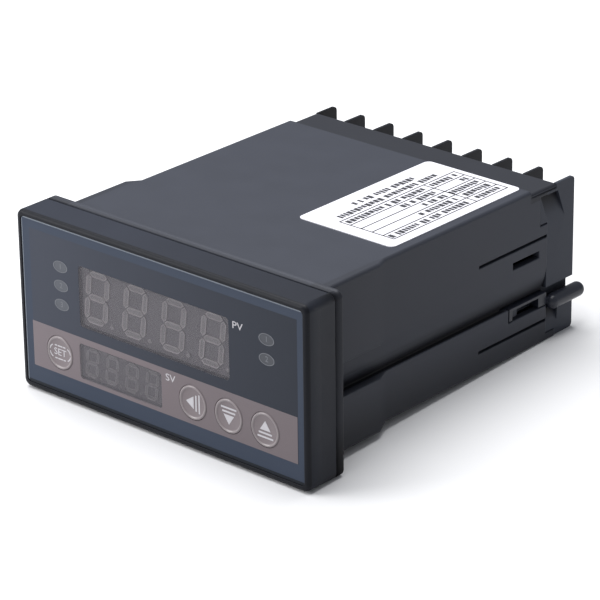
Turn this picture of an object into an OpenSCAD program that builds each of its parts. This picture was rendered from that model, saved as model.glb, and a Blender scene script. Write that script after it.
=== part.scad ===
// Panel temperature controller with a 96 x 48 front, a withdrawable chassis and screw terminals.
// X runs along the front, Y points back through the panel and Z is up.
// The origin is the centre of the panel seat, on the back face of the case flange.

/* [Front] */
// Width of the front bezel and of the case flange
bezel_w = 96; // [95:0.5:104]
// Height of the front bezel and of the case flange
bezel_h = 48; // [47.5:0.5:56]
// Depth of the front bezel
bezel_t = 9.8; // [9.6:0.1:14]
// Thickness of the case flange
flange_t = 2.7; // [2:0.1:4]
// Radius of the corners of the bezel and the flange
bezel_r = 2; // [1.4:0.1:4]
// Rounding of the bezel's front edge
front_round = 1; // [0.3:0.1:1.2]
// Width of the raised rim around the overlay
rim_w = 1.6; // [1.4:0.1:2.2]
// Thickness of the bezel's side walls
bezel_wall = 1.8; // [1.2:0.1:2.5]
// Thickness of the bezel's front plate
plate_t = 2; // [1.6:0.1:2.6]
// Thickness of the overlay film
overlay_t = 0.4; // [0.2:0.05:0.6]
// Depth of the overlay below the rim
overlay_drop = 0.25; // [0.2:0.05:0.6]

/* [Windows and lamps] */
// Width of the process value window
pv_w = 49.9; // [46:0.1:50.2]
// Height of the process value window
pv_h = 16.3; // [15.8:0.1:18]
// Place of the process value window, across
pv_x = -2; // [-3:0.5:4]
// Place of the process value window, up
pv_z = 6; // [5:0.1:6.8]
// Width of the set value window
sv_w = 27.9; // [24:0.1:29]
// Height of the set value window
sv_h = 9.5; // [9:0.1:9.8]
// Place of the set value window, across
sv_x = -13.6; // [-14.5:0.1:-12]
// Thickness of the window panes
pane_t = 0.5; // [0.4:0.1:0.8]
// Width of the oval lamp windows
lamp_w = 4.9; // [3.6:0.1:5.2]
// Height of the oval lamp windows
lamp_h = 3; // [2.4:0.1:4.2]
// Place of the left lamp column, across
lamp_left_x = -33.2; // [-35:0.1:-32]
// Place of the right lamp column, across
lamp_right_x = 35; // [30:0.1:35.5]
// Place of the top lamps, up
lamp_z = 12.1; // [11:0.1:13]
// Pitch of the lamps in a column
lamp_pitch = 5.1; // [5:0.1:5.6]

/* [Keys] */
// Radius of the round keys
key_r = 4.5; // [3.5:0.1:5]
// Height of the key row and of the set value window
row_z = -11.5; // [-12:0.1:-11]
// Place of the set key, across
set_x = -34.6; // [-35.2:0.1:-34.4]
// Place of the shift key, across
shift_x = 10.7; // [9:0.1:11.2]
// Pitch of the three arrow keys
key_pitch = 11.7; // [11:0.1:12]
// Travel of a key
key_travel = 0.4; // [0.2:0.05:0.5]
// Radius of a key's stem
stem_r = 1.6; // [1.2:0.1:1.9]
// Height of a key above the overlay
key_rise = 0.2; // [0:0.05:0.2]
// Thickness of a key's cap
key_cap_t = 0.7; // [0.4:0.05:0.8]
// Width of a key switch's housing
switch_w = 4.5; // [4:0.1:4.6]
// Depth of a key switch's housing
switch_d = 3.5; // [3:0.1:4]
// Radius of a key switch's plunger
plunger_r = 1.2; // [0.8:0.1:1.6]
// Length of plunger that stands out of its housing
plunger_out = 0.7; // [0.5:0.1:1.2]

/* [Displays] */
// Part of the process value module that each end of its window hides
pv_lap_x = 0.2; // [0.1:0.05:1]
// Part of the process value module above and below its window
pv_lap_z = 1.05; // [0.2:0.05:1.3]
// Part of the set value module that each end of its window hides
sv_lap_x = 1.05; // [0.2:0.05:1.2]
// Part of the set value module above and below its window
sv_lap_z = 0.45; // [0.1:0.05:0.8]
// Depth of both display modules
module_d = 7.5; // [6.5:0.1:8.5]
// Digits in each display
digits = 4; // [3:1:4]
// Height of a process value digit
pv_digit_h = 14.2; // [10:0.1:14.2]
// Height of the process value digits' centre above the window's centre
pv_digit_rise = 0.5; // [0:0.1:0.5]
// Height of a set value digit
sv_digit_h = 7.9; // [5:0.1:8.2]
// Lean of the digits, in degrees
digit_lean = 7; // [0:1:9]
// Bare part of the process value display beside its digits
pv_digit_margin = 0.6; // [0.5:0.05:2]
// Bare part of the set value display beside its digits
sv_digit_margin = 0.9; // [0.5:0.05:2]
// Thickness of the segments
segment_t = 0.3; // [0.1:0.05:0.4]

/* [Case] */
// Width of the case where it passes the panel
neck_w = 85; // [84:0.5:90]
// Height of the case where it passes the panel
neck_h = 44.5; // [44:0.1:45]
// Height of the neck's centre above the bezel's centre
neck_rise = 0.55; // [0.2:0.05:0.9]
// Length of the neck behind the panel
neck_len = 20; // [14:0.5:23]
// Length of the sloped step from the neck to the body
step_len = 4; // [1:0.5:5]
// Width of the case body
body_w = 81.4; // [81:0.1:83]
// Height of the case body
body_h = 43.3; // [43:0.1:43.8]
// Height of the body's centre above the bezel's centre
body_rise = 0.75; // [0.6:0.05:0.9]
// Length of the top and bottom walls behind the panel
top_len = 91.2; // [89.5:0.1:97]
// Length of the lower strip at the rear end of the top wall
strip_len = 10.5; // [9:0.1:10.8]
// Wall thickness of the case
wall = 2.2; // [2:0.05:2.4]
// Radius of the case's long edges
edge_r = 1; // [0.5:0.1:1.4]

/* [Side channel] */
// Depth of the channel in each side wall
channel_d = 1.6; // [0.8:0.1:1.8]
// Height of the channel's floor
channel_z = -7.1; // [-7.3:0.1:-6.9]
// Height of the channel's curved upper side
channel_h = 7.9; // [4:0.1:8.4]
// Thickness of plastic behind the channel
channel_wall = 1.2; // [1:0.1:1.3]
// Start of the channel behind the panel
channel_start = 2; // [1.8:0.1:8]

/* [Vents] */
// Height of the narrow slits
slit_h = 0.7; // [0.5:0.1:1]
// Start of the narrow slits behind the panel
slit_start = 60; // [50:1:66]
// Height of the upper slit
upper_slit_z = 8.4; // [7.8:0.1:12]
// Height of the lower slit
lower_slit_z = -14.8; // [-15.6:0.1:-14.2]
// Length of the upper window and of the window in a release arm
slot_len = 10.6; // [8:0.1:10.7]
// Height of the upper window
upper_slot_h = 1.9; // [1.5:0.1:3]
// Height of the upper window's centre
upper_slot_z = 4.2; // [4:0.1:5]

/* [Release arms] */
// Place of the arms' pivots behind the panel
arm_y = 71.4; // [71:0.1:71.6]
// Height of an arm's plate
arm_h = 3.4; // [3.2:0.1:3.6]
// Height of the bar above an arm's window
arm_bar = 0.8; // [0.6:0.1:1.1]
// Thickness of an arm's plate
arm_t = 2; // [1.6:0.1:2.1]
// Radius of an arm's knuckle
knuckle_r = 1.1; // [0.9:0.05:1.2]
// Radius of an arm's finger rod
rod_r = 2; // [1.6:0.1:2.1]
// Height of the rod's centre below the arm's centre
rod_drop = 1.6; // [1:0.1:1.8]
// Length of finger rod that stands out behind the terminals
rod_out = 3.3; // [2:0.1:8]

/* [Terminals] */
// Terminals in a row
bays = 8; // [5:1:8]
// Width of the terminal block
rear_w = 80.8; // [80.6:0.1:81.2]
// Height of the terminal block
rear_h = 41.8; // [41.6:0.1:42.4]
// Height of the terminal block's centre above the bezel's centre
rear_rise = 0.5; // [0.5:0.05:0.8]
// Length of the barriers behind the case's top wall
fin_len = 7.6; // [6.5:0.1:10]
// Thickness of a barrier
fin_t = 0.9; // [0.8:0.1:1.4]
// Thickness of the end walls inside the two outermost barriers
end_t = 2.3; // [2.2:0.1:2.4]
// Radius of the barriers' corners
fin_r = 1.2; // [0.4:0.1:2]
// Height of the band between the rows
band_h = 9; // [6:0.1:10]
// Length of the band behind the terminal seats
band_len = 6.5; // [4:0.1:6.8]
// Width and height of a contact's pad
pad_w = 6; // [5.6:0.1:6]
// Thickness of the contacts
contact_t = 0.8; // [0.6:0.1:1]
// Width of a contact's blade
blade_w = 3.4; // [2.6:0.1:3.6]
// Thickness of a clamp plate
clamp_t = 0.9; // [0.6:0.1:1.2]
// Radius of a terminal screw's shank
screw_r = 1.5; // [1.2:0.05:1.6]
// Radius of a terminal screw's head
head_r = 2.9; // [2.4:0.1:2.9]
// Height of a terminal screw's head
head_t = 2.2; // [1.6:0.1:2.6]
// Length of a terminal screw's shank
shank_len = 6; // [4:0.1:8]

/* [Boards] */
// Thickness of the circuit boards
board_t = 1.6; // [1.2:0.1:1.8]
// Length of the two long boards behind the panel
board_end = 68.4; // [66:0.1:68.5]
// Height of the control board's centre
control_z = 9.5; // [9:0.1:10]
// Height of the power board's centre
power_z = -11; // [-11.2:0.1:-10.9]
// Height of the sockets at the boards' ends
socket_h = 4.4; // [3.4:0.1:5]
// Length of the sockets at the boards' ends
socket_len = 8; // [6:0.5:12]
// Radius of the board screws' shanks
board_screw_r = 1; // [0.8:0.05:1.1]

/* [Power parts] */
// Width of the transformer's core
core_w = 27; // [22:0.5:29]
// Length of the transformer's core
core_l = 30; // [24:0.5:32]
// Height of the transformer's core
core_h = 15; // [12:0.5:16]
// Place of the transformer, across
transformer_x = -20; // [-22:0.5:-19]
// Place of the transformer behind the panel
transformer_y = 30; // [28:0.5:40]
// Thickness of the core's outer limbs
yoke = 5; // [4:0.1:5.5]
// Width of the relays
relay_w = 15.6; // [14:0.1:16]
// Length of the relays
relay_l = 19; // [17:0.5:22]
// Height of the relays
relay_h = 15; // [12:0.5:16]
// Place of the relays, across
relay_x = 26; // [24:0.5:27]
// Place of the alarm relay behind the panel
relay_y = 22; // [20:0.5:23]
// Distance between the relays
relay_pitch = 24; // [23:0.5:26]
// Radius of the smoothing capacitors
capacitor_r = 5; // [4:0.1:5.5]
// Height of the smoothing capacitors
capacitor_h = 16; // [12:0.5:16.5]
// Place of the capacitors, across
capacitor_x = 6; // [4:0.5:7]
// Place of the first capacitor behind the panel
capacitor_y = 20; // [16:0.5:22]
// Distance between the capacitors
capacitor_pitch = 12; // [11:0.5:14]
// Width of the line capacitor
line_capacitor_w = 13; // [10:0.5:15]
// Length of the line capacitor
line_capacitor_l = 6; // [5:0.5:8]
// Height of the line capacitor
line_capacitor_h = 11; // [8:0.5:14]
// Place of the line capacitor behind the panel
line_capacitor_y = 48; // [46:0.5:52]

/* [Control parts] */
// Width of the processor
processor_w = 14; // [10:0.5:16]
// Height of the processor
processor_h = 2; // [1.4:0.1:3]
// Place of the processor, across
processor_x = -8; // [-10:0.5:0]
// Place of the processor behind the panel
processor_y = 30; // [26:0.5:36]
// Width of a logic chip
chip_w = 6; // [4:0.5:8]
// Length of a logic chip
chip_l = 10; // [8:0.5:12]
// Height of a logic chip
chip_h = 1.6; // [1.2:0.1:2.4]
// Place of the logic chips, across
chip_x = 16; // [14:0.5:24]
// Place of the first logic chip behind the panel
chip_y = 20; // [16:0.5:24]
// Distance between the logic chips
chip_pitch = 14; // [13:0.5:15]
// Width of the crystal's can
crystal_w = 4; // [3.5:0.1:4.6]
// Length of the crystal's can
crystal_l = 10; // [8:0.5:11]
// Height of the crystal's can
crystal_h = 3.5; // [2.5:0.1:4]
// Place of the crystal, across
crystal_x = -24; // [-28:0.5:-20]
// Place of the crystal behind the panel
crystal_y = 24; // [20:0.5:40]

/* [Label] */
// Width of the rating label
label_w = 30.4; // [20:0.1:31]
// Length of the rating label
label_l = 50.4; // [40:0.1:50.4]
// Distance of the rating label from the lower strip
label_gap = 0.3; // [0.1:0.1:1]
// Place of the rating label's centre, across
label_x = 22.5; // [-22:0.5:22.5]
// Radius of the rating label's corners
label_r = 1.6; // [1:0.1:4]
// Thickness of the labels
label_t = 0.2; // [0.1:0.05:0.3]
// Bare part of the band at each end of the wiring label
wiring_margin_x = 3; // [1:0.1:6]
// Bare part of the band above and below the wiring label
wiring_margin_z = 0.8; // [0.4:0.1:1.6]

/* [Clearances] */
// Gap between the bezel and the case flange
part_gap = 0.15; // [0.1:0.05:0.3]
// Gap around panes and other fixed pieces
fit_gap = 0.1; // [0.05:0.01:0.15]
// Gap around the display modules in their windows
module_gap = 0.2; // [0.1:0.05:0.25]
// Gap around pieces that slide or swing
slide_gap = 0.3; // [0.25:0.01:0.32]
// Radial clearance of stems, plungers and knuckles
run_gap = 0.08; // [0.04:0.01:0.1]

/* [Hidden] */
$fn = 48;
eps = 0.01;

// Levels along Y, from the front to the panel
front_y = -(flange_t + part_gap + bezel_t);
overlay_y = front_y + overlay_drop;
plate_y = overlay_y + overlay_t;
plate_back = plate_y + plate_t;
pane_inset = 0.1;
pane_back = overlay_y + pane_inset + pane_t;
face_y = pane_back + fit_gap + segment_t;
module_y = plate_back + fit_gap;
board_y = module_y + module_d;
board_back = board_y + board_t;
bezel_back = -flange_t - part_gap;
seam_w = 0.3;
seam_depth = 0.8;
seam_inset = 2;

// Overlay and keys
overlay_w = bezel_w - 2 * rim_w;
overlay_h = bezel_h - 2 * rim_w;
overlay_r = 1;
key_xs = [set_x, shift_x, shift_x + key_pitch, shift_x + 2 * key_pitch];
key_hole_r = key_r + fit_gap;
key_floor = plate_y + plate_t / 2;
collar_t = 0.6;
collar_r = stem_r + 1;
collar_gap = 0.1;
plunger_front = board_y - switch_d - plunger_out;
plunger_len = plunger_out + 1.7;
lamp_spots = [[lamp_left_x, lamp_z], [lamp_left_x, lamp_z - lamp_pitch],
              [lamp_left_x, lamp_z - 2 * lamp_pitch],
              [lamp_right_x, lamp_z], [lamp_right_x, lamp_z - lamp_pitch]];
led_r = 1.4;
led_d = 5;
oval_sides = 40;

// Digits: widths and places as shares of a digit's height or of a bar's thickness
digit_share = 0.56;
bar_share = 0.12;
bar_gap_share = 0.14;
point_share = 0.42;
point_place = 0.95;

// Inside of the case
mouth_w = neck_w - 2 * wall;
mouth_h = neck_h - 2 * wall;
in_x = body_w / 2 - wall;
in_top = body_rise + body_h / 2 - wall;
in_bottom = body_rise - body_h / 2 + wall;
side_setback = 3.7;
side_len = top_len - side_setback;
channel_x = body_w / 2 - channel_d;
channel_lip = 0.8;
channel_top = channel_z + channel_lip + channel_h;
rib_x = channel_x - channel_wall;
rib_out = body_w / 2 - 0.4;
strip_y = top_len - strip_len;
strip_r = 0.8;
label_y = strip_y - label_gap - label_l;

// Boards
dboard_w = 2 * (rib_x - slide_gap);
mouth_gap = 1.3;
dboard_h = mouth_h - 2 * mouth_gap;
post_r = board_screw_r + 0.7;
post_inset = post_r + 0.2;
post_x = dboard_w / 2 - post_inset;
post_z = dboard_h / 2 - post_inset;
posts = [for (x = [-post_x, post_x], z = [neck_rise - post_z, neck_rise + post_z]) [x, z]];
long_board_w = 2 * (in_x - slide_gap);
control_top = control_z + board_t / 2;
power_top = power_z + board_t / 2;
guide_t = 1.2;
guide_reach = 1.2;
socket_x = in_x - guide_reach - slide_gap;
guide_start = neck_len + step_len;
guide_setback = 2.4;
guide_end = board_end - guide_setback;
board_screw_l = 4;
hole_spare = 1;
header_w = 40;
header_l = 8;
header_h = 4;
winding_gap = 0.3;
winding_rise = 0.6;
centre_limb = 7;
window_w = core_w / 2 - yoke - centre_limb / 2;
window_x = (core_w / 2 - yoke + centre_limb / 2) / 2;

// Terminal block
seat_drop = 0.8;
seat_y = top_len - seat_drop;
seat_t = 3;
clamp_y = seat_y + contact_t;
head_y = clamp_y + clamp_t;
rear_y = top_len + fin_len;
rear_top = rear_rise + rear_h / 2;
rear_bottom = rear_rise - rear_h / 2;
band_z = rear_rise;
pitch = (rear_w - fin_t) / bays;
bay_xs = [for (i = [0 : bays - 1]) -rear_w / 2 + fin_t / 2 + pitch * (i + 0.5)];
blade_top_z = control_top + socket_h / 2;
blade_bottom_z = power_top + socket_h / 2;
pad_top_z = blade_top_z - contact_t / 2 + pad_w / 2;
pad_bottom_z = blade_bottom_z + contact_t / 2 - pad_w / 2;
blade_reach = 5;
blade_start = board_end - blade_reach;
pad_spots = [for (x = bay_xs, z = [pad_top_z, pad_bottom_z]) [x, z]];

// Snap lugs of the terminal block and the pockets behind them
snap_l = 2.6;
snap_h = 7.4;
snap_inset = 0.9;
snap_z = in_top - snap_h / 2 - snap_inset;
snap_depth = 1.3;
pocket_len = 4.4;
pocket_lean = 3;
pocket_backing = 2;
pocket_roof = 0.5;
low_pocket_h = 3.9;
low_pocket_len = 4.6;

// Release arms
arm_x = body_w / 2 - arm_t;
arm_top = channel_z;
arm_z = arm_top - arm_h / 2;
arm_bottom = arm_top - arm_h;
pivot_x = in_x + knuckle_r - 0.7;
pocket_r = knuckle_r + run_gap;
arm_neck = 1.2;
arm_in = min(arm_x, pivot_x - arm_neck / 2);
arm_open_y = arm_y + 0.6;
plate_start = arm_open_y + slide_gap;
slot_y = plate_start + 1.3;
rod_x = body_w / 2 + 0.1;
rod_z = arm_z - rod_drop;
rod_start = side_len + slide_gap;
tail_h = 1.6;
recess_rise = 1;
tongue_x = in_x - slide_gap;
hook_h = arm_h - arm_bar - 2 * slide_gap;
tongue_h = hook_h + 0.4;
tongue_z = arm_bottom + (arm_h - arm_bar) / 2;
tongue_t = 1.4;
hook_x = body_w / 2 - 0.8;
hook_l = 5.2;

// Shapes shared by several pieces
module rounded(w, h, r) {
    square([w - 2 * r, h], center = true);
    square([w, h - 2 * r], center = true);
    for (x = [-1, 1], z = [-1, 1])
        translate([x * (w / 2 - r), z * (h / 2 - r)]) circle(r);
}

module slab(w, h, r, y0, y1, z = 0) {
    translate([0, y1, z]) rotate([90, 0, 0]) linear_extrude(y1 - y0) rounded(w, h, r);
}

module box(low, high) {
    translate(low) cube(high - low);
}

module rod_y(r, y0, y1, x = 0, z = 0) {
    translate([x, y0, z]) rotate([-90, 0, 0]) cylinder(r = r, h = y1 - y0);
}

module both_sides() {
    children();
    mirror([1, 0, 0]) children();
}

module oval(w, h, y0, y1, x, z) {
    translate([x, y1, z]) rotate([90, 0, 0]) linear_extrude(y1 - y0)
        polygon([for (a = [0 : 360 / oval_sides : 359]) [w / 2 * cos(a), h / 2 * sin(a)]]);
}

// Case: flange, neck, sloped step and body, open at both ends
module case_outer() {
    slab(bezel_w, bezel_h, bezel_r, -flange_t, 0);
    slab(neck_w, neck_h, edge_r, -eps, neck_len, neck_rise);
    hull() {
        slab(neck_w, neck_h, edge_r, neck_len - eps, neck_len, neck_rise, $fn = 32);
        slab(body_w, body_h, edge_r, neck_len + step_len, neck_len + step_len + eps, body_rise, $fn = 32);
    }
    slab(body_w, body_h, edge_r, neck_len + step_len, top_len, body_rise);
}

module case_inner() {
    slab(mouth_w, mouth_h, edge_r, -flange_t - 1, neck_len, neck_rise);
    slab(2 * in_x, body_h - 2 * wall, edge_r, neck_len - 1, top_len + 1, body_rise);
}

// Section of the side channel: a flat floor and an upper side that rolls out into the surface
function channel_curve(depth_x, floor_z) =
    [for (t = [0 : 0.1 : 1]) [depth_x + channel_d * t * (2 - t), floor_z + channel_h * t]];

module channel_cut() {
    translate([0, side_len + 1, 0]) rotate([90, 0, 0])
        linear_extrude(side_len + 1 - channel_start)
            polygon(concat([[neck_w, channel_z], [channel_x, channel_z]],
                           channel_curve(channel_x, channel_z + channel_lip), [[neck_w, channel_top]]));
}

module channel_rib() {
    translate([0, side_len, 0]) rotate([90, 0, 0])
        linear_extrude(side_len - channel_start + channel_wall)
            polygon(concat([[rib_out, channel_z - channel_wall], [rib_x, channel_z - channel_wall]],
                           channel_curve(rib_x, channel_z + channel_lip), [[rib_out, channel_top]]));
    box([in_x - eps, channel_start - channel_wall, channel_z - channel_wall],
        [neck_w / 2 - wall / 2, neck_len + 1, channel_top]);
}

module board_guide(z) {
    half = board_t / 2 + fit_gap + 0.05;
    for (s = [-1, 1])
        translate([0, 0, z + s * (half + guide_t / 2)])
            box([in_x - guide_reach, guide_start, -guide_t / 2], [in_x + eps, guide_end, guide_t / 2]);
}

module arm_boss() {
    box([pivot_x - pocket_r - 0.7, arm_y - pocket_r - 0.6, arm_bottom - slide_gap],
        [in_x + eps, arm_open_y, arm_top + slide_gap]);
}

module arm_opening() {
    box([pivot_x - pocket_r - 1, arm_open_y, arm_bottom - slide_gap],
        [neck_w, side_len + 1, arm_top + slide_gap]);
    translate([pivot_x, arm_y, arm_bottom - slide_gap])
        cylinder(r = pocket_r, h = arm_h + 2 * slide_gap);
    box([pivot_x - arm_neck / 2 - slide_gap, arm_y, arm_bottom - slide_gap],
        [pivot_x + arm_neck / 2 + slide_gap, arm_open_y + eps, arm_top + slide_gap]);
}

module snap_notch() {
    box([in_x - 1, side_len - snap_l - slide_gap, snap_z - snap_h / 2 - slide_gap],
        [neck_w, side_len + 1, snap_z + snap_h / 2 + slide_gap]);
}

// Rear end of the top wall, lowered to the top of the barriers
module strip_cut() {
    difference() {
        box([-neck_w, strip_y, rear_top - strip_r], [neck_w, top_len + 1, neck_h]);
        slab(rear_w, rear_h, strip_r, strip_y - 1, top_len + 2, rear_rise);
    }
}

module side_cuts() {
    channel_cut();
    arm_opening();
    for (z = [upper_slit_z, lower_slit_z])
        box([in_x - 1, slit_start, z - slit_h / 2], [neck_w, side_len + 1, z + slit_h / 2]);
    box([in_x - 1, slot_y, upper_slot_z - upper_slot_h / 2],
        [neck_w, slot_y + slot_len, upper_slot_z + upper_slot_h / 2]);
    box([in_x - 1, side_len, in_bottom], [neck_w, top_len + 1, in_top]);
    snap_notch();
}

module case() color("#43454b") difference() {
    union() {
        difference() {
            case_outer();
            case_inner();
        }
        both_sides() {
            channel_rib();
            board_guide(control_z);
            board_guide(power_z);
            arm_boss();
        }
    }
    both_sides() side_cuts();
    strip_cut();
}

// Terminal block: seat wall, band between the rows and nine barriers a row
module barrier_profile() {
    translate([side_len + fit_gap, in_bottom + fit_gap])
        square([top_len - side_len, in_top - in_bottom - 2 * fit_gap]);
    translate([top_len + fit_gap, rear_bottom])
        square([rear_y - fin_r - top_len - fit_gap, rear_h]);
    translate([top_len + fit_gap, rear_bottom + fin_r])
        square([rear_y - top_len - fit_gap, rear_h - 2 * fin_r]);
    for (z = [rear_bottom + fin_r, rear_top - fin_r])
        translate([rear_y - fin_r, z]) circle(fin_r);
}

module barrier(x) {
    translate([x, 0, 0]) rotate([90, 0, 90]) linear_extrude(fin_t) barrier_profile();
}

module middle_barriers() {
    difference() {
        for (i = [1 : bays - 1]) barrier(-rear_w / 2 + pitch * i);
        box([-rear_w, side_len - 1, band_z - band_h / 2], [rear_w, rear_y + 1, band_z + band_h / 2]);
    }
}

module tongue() {
    box([tongue_x - tongue_t, arm_y + 1.6, tongue_z - tongue_h / 2],
        [tongue_x, seat_y - seat_t + eps, tongue_z + tongue_h / 2]);
    translate([0, 0, tongue_z - hook_h / 2]) linear_extrude(hook_h)
        polygon([[tongue_x - eps, slot_y + slide_gap], [hook_x, slot_y + slide_gap],
                 [hook_x, slot_y + hook_l / 2], [tongue_x - eps, slot_y + hook_l]]);
}

module snap_lug() {
    box([tongue_x - 1, side_len - snap_l, snap_z - snap_h / 2],
        [rear_w / 2, side_len + 1, snap_z + snap_h / 2]);
}

// Pocket that is deepest along its top and runs out at its lower edge, which may sit further back
module fading_pocket(y0, y1, bottom, top, lean) {
    hull() {
        box([rear_w / 2 - snap_depth, y0, top], [rear_w / 2 + 1, y1, top + eps]);
        box([rear_w / 2, y0 + lean, bottom], [rear_w / 2 + 1, y1 + lean, bottom + eps]);
    }
}

module snap_pockets() {
    fading_pocket(side_len - snap_l, side_len + pocket_len, snap_z - snap_h / 2,
                  snap_z + snap_h / 2, pocket_lean);
    fading_pocket(side_len + slide_gap, side_len + slide_gap + low_pocket_len,
                  rod_z - rod_r - slide_gap - low_pocket_h, rod_z - rod_r - slide_gap, 0);
}

// Thicker end wall: behind the rod's recess over its whole length, behind the pocket only beside it
module end_wall() {
    box([rear_w / 2 - end_t, side_len + fit_gap, in_bottom + fit_gap],
        [rear_w / 2, rear_y - slide_gap, band_z + band_h / 2]);
    box([rear_w / 2 - end_t, side_len + fit_gap, band_z],
        [rear_w / 2, side_len + pocket_len + pocket_backing, snap_z + snap_h / 2 + pocket_roof]);
}

module rod_recess() {
    box([arm_in - slide_gap, seat_y - seat_t - 1, arm_bottom - slide_gap],
        [rear_w, side_len + slide_gap, arm_top + slide_gap]);
    box([rod_x - rod_r - slide_gap, side_len - 1, rod_z - rod_r - slide_gap],
        [rear_w, rear_y + 1, arm_top + recess_rise]);
}

module terminal_block() color("#3c3e44") difference() {
    union() {
        slab(2 * (in_x - fit_gap), in_top - in_bottom - 2 * fit_gap, edge_r,
             seat_y - seat_t, seat_y, body_rise);
        box([-rear_w / 2, side_len + fit_gap, in_bottom + fit_gap],
            [rear_w / 2, seat_y, in_top - fit_gap]);
        box([-rear_w / 2, seat_y - eps, band_z - band_h / 2],
            [rear_w / 2, seat_y + band_len, band_z + band_h / 2]);
        barrier(-rear_w / 2);
        barrier(rear_w / 2 - fin_t);
        middle_barriers();
        both_sides() {
            tongue();
            snap_lug();
            end_wall();
        }
    }
    both_sides() {
        rod_recess();
        snap_pockets();
        box([rib_x - fit_gap, seat_y - seat_t - 1, channel_z - channel_wall - fit_gap],
            [in_x + eps, side_len + fit_gap, channel_top + fit_gap]);
    }
    for (p = pad_spots) rod_y(screw_r + fit_gap, seat_y - seat_t - 1, seat_y + 1, p[0], p[1]);
    for (x = bay_xs, z = [blade_top_z, blade_bottom_z])
        box([x - blade_w / 2 - fit_gap, seat_y - seat_t - 1, z - contact_t / 2 - fit_gap],
            [x + blade_w / 2 + fit_gap, seat_y + 1, z + contact_t / 2 + fit_gap]);
}

module contact(x, pad_z, blade_z) {
    difference() {
        box([x - pad_w / 2, seat_y, pad_z - pad_w / 2],
            [x + pad_w / 2, seat_y + contact_t, pad_z + pad_w / 2]);
        rod_y(screw_r + run_gap, seat_y - 1, seat_y + contact_t + 1, x, pad_z);
    }
    box([x - blade_w / 2, blade_start, blade_z - contact_t / 2],
        [x + blade_w / 2, seat_y + eps, blade_z + contact_t / 2]);
}

module terminal_contacts() color("#c9a54a")
    for (x = bay_xs) {
        contact(x, pad_top_z, blade_top_z);
        contact(x, pad_bottom_z, blade_bottom_z);
    }

module terminal_clamps() color("#c8cacc")
    for (p = pad_spots) difference() {
        box([p[0] - pad_w / 2, clamp_y, p[1] - pad_w / 2], [p[0] + pad_w / 2, head_y, p[1] + pad_w / 2]);
        rod_y(screw_r + fit_gap, clamp_y - 1, head_y + 1, p[0], p[1]);
    }

module terminal_screws() color("#d4d6d8")
    for (p = pad_spots) difference() {
        union() {
            rod_y(screw_r, head_y - shank_len, head_y + eps, p[0], p[1]);
            rod_y(head_r, head_y, head_y + head_t, p[0], p[1]);
        }
        for (size = [[head_r * 2 - 1.2, 0.9], [0.9, head_r * 2 - 1.2]])
            box([p[0] - size[0] / 2, head_y + head_t / 2, p[1] - size[1] / 2],
                [p[0] + size[0] / 2, head_y + head_t + 1, p[1] + size[1] / 2]);
    }

module rating_label() color("#f2f2ef")
    translate([label_x, label_y + label_l / 2, body_rise + body_h / 2])
        linear_extrude(label_t) rounded(label_w, label_l, label_r);

module wiring_label() color("#e8e8e4")
    slab(rear_w - 2 * wiring_margin_x, band_h - 2 * wiring_margin_z, 0.8,
         seat_y + band_len, seat_y + band_len + label_t, band_z);

// Release arm on the right: knuckle, plate with its window, and finger rod
module release_arm() {
    translate([pivot_x, arm_y, arm_bottom]) cylinder(r = knuckle_r, h = arm_h);
    box([pivot_x - arm_neck / 2, arm_y, arm_bottom], [pivot_x + arm_neck / 2, plate_start + eps, arm_top]);
    difference() {
        box([arm_in, plate_start, arm_bottom], [body_w / 2, side_len, arm_top]);
        box([0, slot_y, arm_bottom - 1], [neck_w, slot_y + slot_len, arm_top - arm_bar]);
    }
    box([rod_x - rod_r, side_len - eps, arm_bottom],
        [body_w / 2, rod_start + rod_r, arm_bottom + tail_h]);
    rod_y(rod_r, rod_start + rod_r, rear_y + rod_out - rod_r, rod_x, rod_z);
    for (y = [rod_start + rod_r, rear_y + rod_out - rod_r])
        translate([rod_x, y, rod_z]) sphere(rod_r);
}

module right_release_arm() color("#4a4c52") release_arm();

module left_release_arm() color("#4a4c52") mirror([1, 0, 0]) release_arm();

// Front bezel: a frame with a front plate, a recess for the overlay and posts for the board
module front_bezel() color("#2f3136") difference() {
    union() {
        difference() {
            hull() {
                slab(bezel_w, bezel_h, bezel_r, front_y + front_round, bezel_back, $fn = 32);
                slab(bezel_w - 0.6 * front_round, bezel_h - 0.6 * front_round, bezel_r - 0.3 * front_round,
                     front_y + 0.3 * front_round, bezel_back, $fn = 32);
                slab(bezel_w - 2 * front_round, bezel_h - 2 * front_round, bezel_r - front_round + 0.4,
                     front_y, bezel_back, $fn = 32);
            }
            slab(overlay_w + 2 * fit_gap, overlay_h + 2 * fit_gap, overlay_r + fit_gap,
                 front_y - 1, plate_y);
            slab(bezel_w - 2 * bezel_wall, bezel_h - 2 * bezel_wall, overlay_r, plate_back, bezel_back + 1);
        }
        for (p = posts) rod_y(post_r, plate_back - eps, board_y, p[0], p[1]);
    }
    translate([pv_x, 0, pv_z]) slab(pv_w, pv_h, 1, plate_y - 1, plate_back + 1);
    translate([sv_x, 0, row_z]) slab(sv_w, sv_h, 0.8, plate_y - 1, plate_back + 1);
    for (x = key_xs) {
        rod_y(key_hole_r, plate_y - 1, key_floor, x, row_z);
        rod_y(stem_r + run_gap, plate_y, plate_back + 1, x, row_z);
    }
    for (p = lamp_spots) oval(lamp_w, lamp_h, plate_y - 1, plate_back + 1, p[0], p[1]);
    for (p = posts)
        rod_y(board_screw_r + 0.05, board_y - board_screw_l - hole_spare, board_y + 1, p[0], p[1]);
    box([-bezel_w / 2 + seam_inset, bezel_back - seam_w, bezel_h / 2 - seam_depth],
        [bezel_w / 2 - seam_inset, bezel_back + 1, bezel_h / 2 + 1]);
}

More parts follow.
